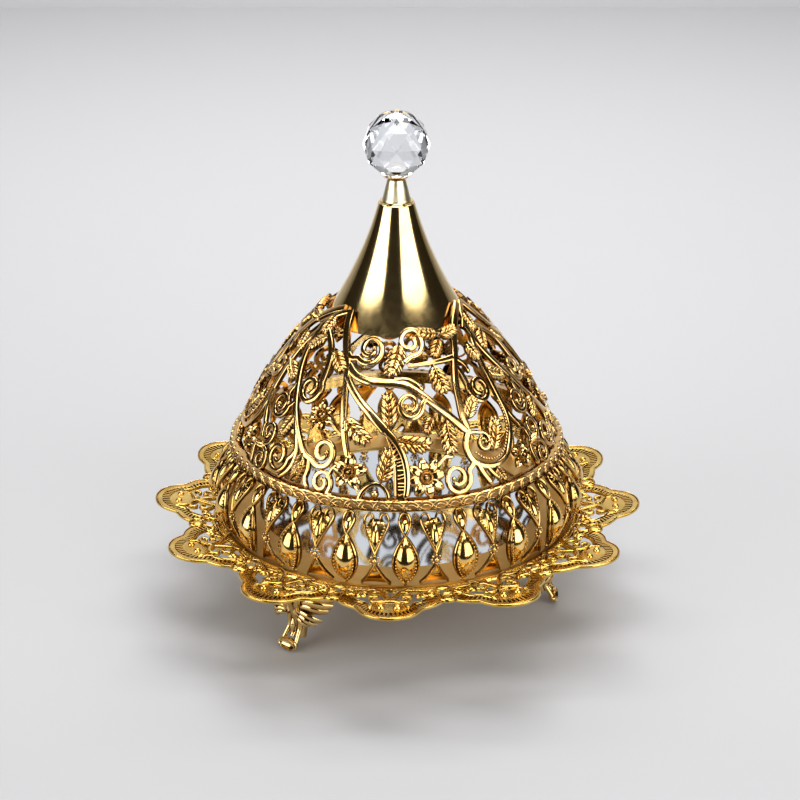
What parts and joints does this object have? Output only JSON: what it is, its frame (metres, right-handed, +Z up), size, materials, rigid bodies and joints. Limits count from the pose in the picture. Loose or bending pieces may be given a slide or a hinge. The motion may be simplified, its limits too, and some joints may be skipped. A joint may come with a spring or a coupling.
{
  "type": "lidded sweet dish",
  "caption": "Footed Turkish delight box: round tray with a pierced petal rim, a gallery wall round a mirror floor, and a lift-off openwork dome with a polished cap and faceted ball finial.",
  "frame": {"origin": "on the table, under the middle of the tray", "axes": "+Z up along the dish's axis, the front looks along -Y, +X to the right seen from the front"},
  "size_m": [0.3058, 0.3058, 0.3118],
  "materials": {
    "tray_gold": "satin gold-plated tray and pierced rim",
    "gallery_gold": "polished gold-plated castings",
    "dome_gold": "polished gold-plated castings",
    "foot_gold": "polished gold-plated castings",
    "cap_gold": "mirror-polished pale gold plate",
    "mirror": "silvered mirror",
    "crystal": "clear faceted crystal",
    "tape": "black foam tape",
    "steel": "plain steel"
  },
  "bodies": {
    "base": {"tray_pan": "tray_gold", "tray_rim": "tray_gold", "mirror_plate": "mirror", "mirror_tapes": "tape", "gallery_marquises": "gallery_gold", "gallery_hearts": "gallery_gold", "gallery_top_rail": "gallery_gold", "foot_left": "foot_gold", "foot_right": "foot_gold", "foot_back": "foot_gold", "foot_screws": "steel"},
    "lid": {"lid_ring": "dome_gold", "dome_casting_1": "dome_gold", "dome_casting_2": "dome_gold", "dome_casting_3": "dome_gold", "cap": "cap_gold", "finial_neck": "cap_gold", "finial_stud": "steel", "stud_nut": "steel", "ball_collar": "dome_gold", "crystal_ball": "crystal"}
  },
  "joints": [
    {"name": "lid_lift", "type": "slide", "parent": "base", "child": "lid", "axis": [0, 0, 1], "range_m": [0, 0.12]}
  ]
}
